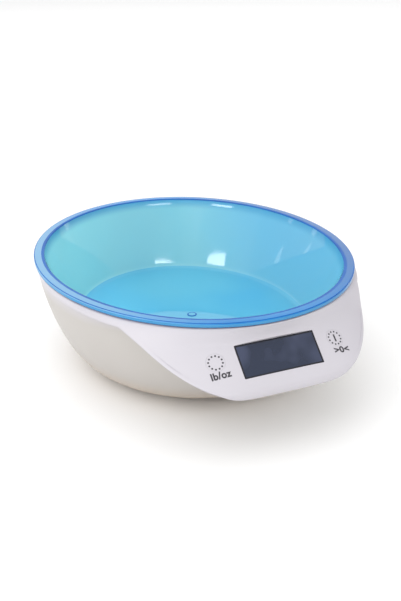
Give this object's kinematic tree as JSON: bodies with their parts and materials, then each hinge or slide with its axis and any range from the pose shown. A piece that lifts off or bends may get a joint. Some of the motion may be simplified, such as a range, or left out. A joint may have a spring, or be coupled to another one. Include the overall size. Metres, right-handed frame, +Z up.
{
  "type": "digital kitchen scale",
  "caption": "Digital kitchen scale: an oval clear bowl in a smooth oval body with a sloping front panel, a display window and round keys.",
  "frame": {"origin": "on the surface it stands on, under the middle of the whole object", "axes": "+Z up, -Y towards the front with the display, +X to the right as seen from the front"},
  "size_m": [0.188, 0.2362, 0.07],
  "materials": {
    "clear_blue": "glossy clear tinted",
    "white_shell": "smooth satin gloss",
    "platform_grey": "satin",
    "black_plastic": "fine matte",
    "cell_alloy": "brushed",
    "coating_white": "soft silicone",
    "steel": "zinc plated",
    "foot_rubber": "matte",
    "window_clear": "clear smoked acrylic",
    "black_film": "film",
    "lcd_glass": "polarised glass",
    "white_frame": "satin",
    "strip_rubber": "matte striped rubber",
    "board_green": "solder mask",
    "can_steel": "bright can",
    "component_brown": "ceramic",
    "plunger_grey": "satin",
    "battery_wrap": "printed wrap without lettering",
    "contact_steel": "nickel plated",
    "lead_grey": "soft insulation",
    "lead_red": "soft insulation",
    "lead_black": "soft insulation"
  },
  "bodies": {
    "housing": {"board_components": "component_brown", "board_screws": "steel", "circuit_board": "board_green", "contact_strips": "strip_rubber", "controller_chip": "black_plastic", "crystal_can": "can_steel", "display_frame": "white_frame", "display_glass": "lcd_glass", "display_window": "window_clear", "front_battery": "battery_wrap", "front_left_foot": "foot_rubber", "front_right_foot": "foot_rubber", "gauge_coating": "coating_white", "housing_screws": "steel", "link_contact": "contact_steel", "load_cell": "cell_alloy", "load_cell_leads": "lead_grey", "load_cell_screws": "steel", "lower_housing": "white_shell", "negative_battery_lead": "lead_black", "negative_contact": "contact_steel", "positive_battery_lead": "lead_red", "positive_contact": "contact_steel", "rear_battery": "battery_wrap", "rear_left_foot": "foot_rubber", "rear_right_foot": "foot_rubber", "storage_capacitor": "can_steel", "tare_switch": "black_plastic", "unit_switch": "black_plastic", "upper_housing": "white_shell", "window_tape": "black_film"},
    "platform": {"weighing_platform": "platform_grey", "load_carrier": "black_plastic", "carrier_screws": "steel"},
    "bowl": {"bowl": "clear_blue"},
    "unit_key": {"unit_key": "white_shell", "unit_switch_plunger": "plunger_grey"},
    "tare_key": {"tare_key": "white_shell", "tare_switch_plunger": "plunger_grey"},
    "battery_door": {"battery_door": "white_shell"}
  },
  "joints": [
    {"name": "platform_load", "type": "slide", "parent": "housing", "child": "platform", "axis": [0, 0, 1], "range_m": [-0.0004, 0], "stiffness_N_per_m": 130000, "deforming": ["load_cell"]},
    {"name": "bowl_lift", "type": "slide", "parent": "housing", "child": "bowl", "axis": [0, 0, 1], "range_m": [0, 0.12]},
    {"name": "battery_door_turn", "type": "hinge", "parent": "housing", "child": "battery_door", "pos_m": [0, 0.0199, 0.0025], "axis": [-1, 0, 0], "range_deg": [0, 90]},
    {"name": "unit_key_press", "type": "slide", "parent": "housing", "child": "unit_key", "axis": [0, 0.6639, -0.7478], "range_m": [0, 0.0003], "stiffness_N_per_m": 4000, "springref_m": -0.0001},
    {"name": "tare_key_press", "type": "slide", "parent": "housing", "child": "tare_key", "axis": [0, 0.6639, -0.7478], "range_m": [0, 0.0003], "stiffness_N_per_m": 4000, "springref_m": -0.0001}
  ]
}
